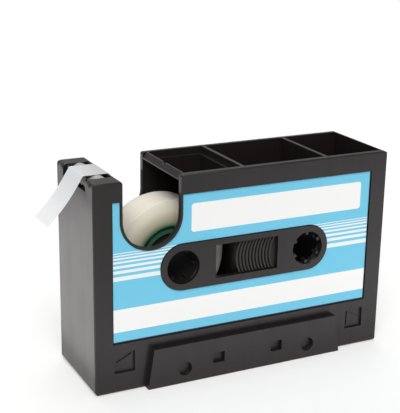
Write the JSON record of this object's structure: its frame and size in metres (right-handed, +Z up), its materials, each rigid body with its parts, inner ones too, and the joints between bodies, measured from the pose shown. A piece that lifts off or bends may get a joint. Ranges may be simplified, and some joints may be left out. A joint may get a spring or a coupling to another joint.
{
  "type": "desk tidy with tape dispenser",
  "caption": "Cassette-shaped desk tidy: open pen bays, a lift-out pin tray and a built-in sticky-tape dispenser with a turning spool, a guide roller and a serrated cutter.",
  "frame": {"origin": "middle of the underside of the base pad, on the table", "axes": "+X along the front from the dispenser tower to the pen bays, +Y from the front to the back, +Z up"},
  "size_m": [0.1826, 0.0576, 0.1085],
  "materials": {
    "shell_plastic": "fine satin moulded black",
    "label_print": "printed film, blue with white bands",
    "window_plastic": "satin moulded dark grey",
    "cutter_steel": "bright stamped strip",
    "tape_film": "frosted clear film",
    "roller_plastic": "moulded pale grey",
    "tray_plastic": "fine satin moulded black",
    "spool_plastic": "satin moulded black",
    "core_plastic": "moulded dark green",
    "wound_tape": "wound layers of film, cream",
    "screw_steel": "zinc plated",
    "pad_rubber": "matt foam rubber"
  },
  "bodies": {
    "case": {"case_frame": "shell_plastic", "front_shell": "shell_plastic", "back_shell": "shell_plastic", "front_label": "label_print", "front_reel_window": "window_plastic", "back_reel_window": "window_plastic", "cutter_blade": "cutter_steel", "tape_strip": "tape_film", "case_screws": "screw_steel", "base_pad": "pad_rubber"},
    "tray": {"pin_tray": "tray_plastic"},
    "spool": {"tape_spool": "spool_plastic", "tape_core": "core_plastic", "tape_roll": "wound_tape"},
    "roller": {"tape_roller": "roller_plastic"}
  },
  "joints": [
    {"name": "spool_spin", "type": "hinge", "parent": "case", "child": "spool", "pos_m": [-0.0355, 0, 0.0607], "axis": [0, 1, 0], "continuous": true},
    {"name": "roller_spin", "type": "hinge", "parent": "case", "child": "roller", "pos_m": [-0.0741, 0, 0.1038], "axis": [0, 1, 0], "continuous": true},
    {"name": "tray_lift", "type": "slide", "parent": "case", "child": "tray", "axis": [0, 0, 1], "range_m": [0, 0.03]}
  ]
}
